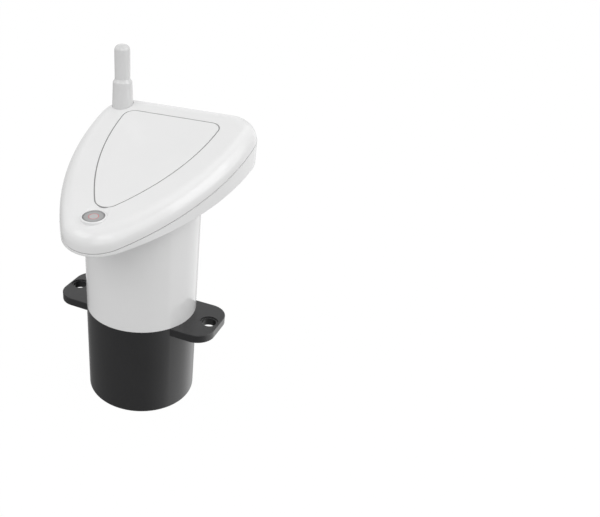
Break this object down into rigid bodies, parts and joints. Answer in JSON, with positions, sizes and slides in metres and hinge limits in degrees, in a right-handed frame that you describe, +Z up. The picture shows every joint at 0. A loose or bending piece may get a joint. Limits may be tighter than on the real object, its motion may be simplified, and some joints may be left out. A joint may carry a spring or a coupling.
{
  "type": "ultrasonic level sensor",
  "caption": "Wireless ultrasonic level sensor for a tank roof: black screw-eared base, white tube and a leaning shield-shaped head with lid, test button and short antenna.",
  "frame": {"origin": "centre of the base's flat bottom, on the tube's axis", "axes": "+Z up along the tube, X along the two screw ears, the head's nose towards -Y"},
  "size_m": [0.0708, 0.0832, 0.1379],
  "materials": {
    "white_shell": "moulded, glossy white",
    "black_base": "moulded, satin black",
    "button_grey": "moulded, satin grey",
    "indicator_red": "translucent red",
    "grey_rubber": "soft, pale grey",
    "black_rubber": "soft, black",
    "zinc_steel": "zinc plated",
    "spring_steel": "nickel plated",
    "brass": "bright",
    "circuit_board": "solder mask, green",
    "chip_black": "moulded epoxy",
    "transducer_can": "anodised",
    "cell_jacket": "plain printed sleeve",
    "lead_jacket": "flexible sleeve",
    "led_lens": "clear red lens"
  },
  "bodies": {
    "housing": {"head_cover": "white_shell", "body_housing": "white_shell", "head_gasket": "grey_rubber", "transducer_base": "black_base", "base_o_ring": "black_rubber", "base_screws": "zinc_steel", "head_screws": "zinc_steel", "antenna_sleeve": "white_shell", "antenna_coil": "brass", "antenna_nut": "brass", "antenna_seal": "black_rubber", "button_bezel": "white_shell", "bezel_seal": "black_rubber", "tact_switch": "chip_black", "status_led": "led_lens", "main_board": "circuit_board", "rf_module": "spring_steel", "microcontroller": "chip_black", "board_capacitors": "transducer_can", "battery_carrier": "chip_black", "battery_cell_a": "cell_jacket", "battery_cell_b": "cell_jacket", "lower_spring_contact": "spring_steel", "lower_pole_contact": "spring_steel", "upper_bridge_contact": "spring_steel", "floor_contacts": "spring_steel", "transducer_transmit": "transducer_can", "transducer_receive": "transducer_can", "transducer_seals": "black_rubber", "transducer_board": "circuit_board", "transducer_board_screws": "zinc_steel", "thermistor": "chip_black", "sensor_lead": "lead_jacket", "sensor_plugs": "white_shell", "battery_lead": "lead_jacket"},
    "lid": {"battery_lid": "white_shell", "lid_gasket": "grey_rubber"},
    "button": {"test_button": "button_grey", "indicator_ring": "indicator_red", "button_clip": "spring_steel", "switch_plunger": "chip_black"}
  },
  "joints": [
    {"name": "lid_lift", "type": "slide", "parent": "housing", "child": "lid", "axis": [0, -0.298, 0.9546], "range_m": [0, 0.03]},
    {"name": "button_press", "type": "slide", "parent": "housing", "child": "button", "axis": [0, 0.1045, -0.9945], "range_m": [0, 0.0004], "stiffness_N_per_m": 1500, "springref_m": -0.0003}
  ]
}
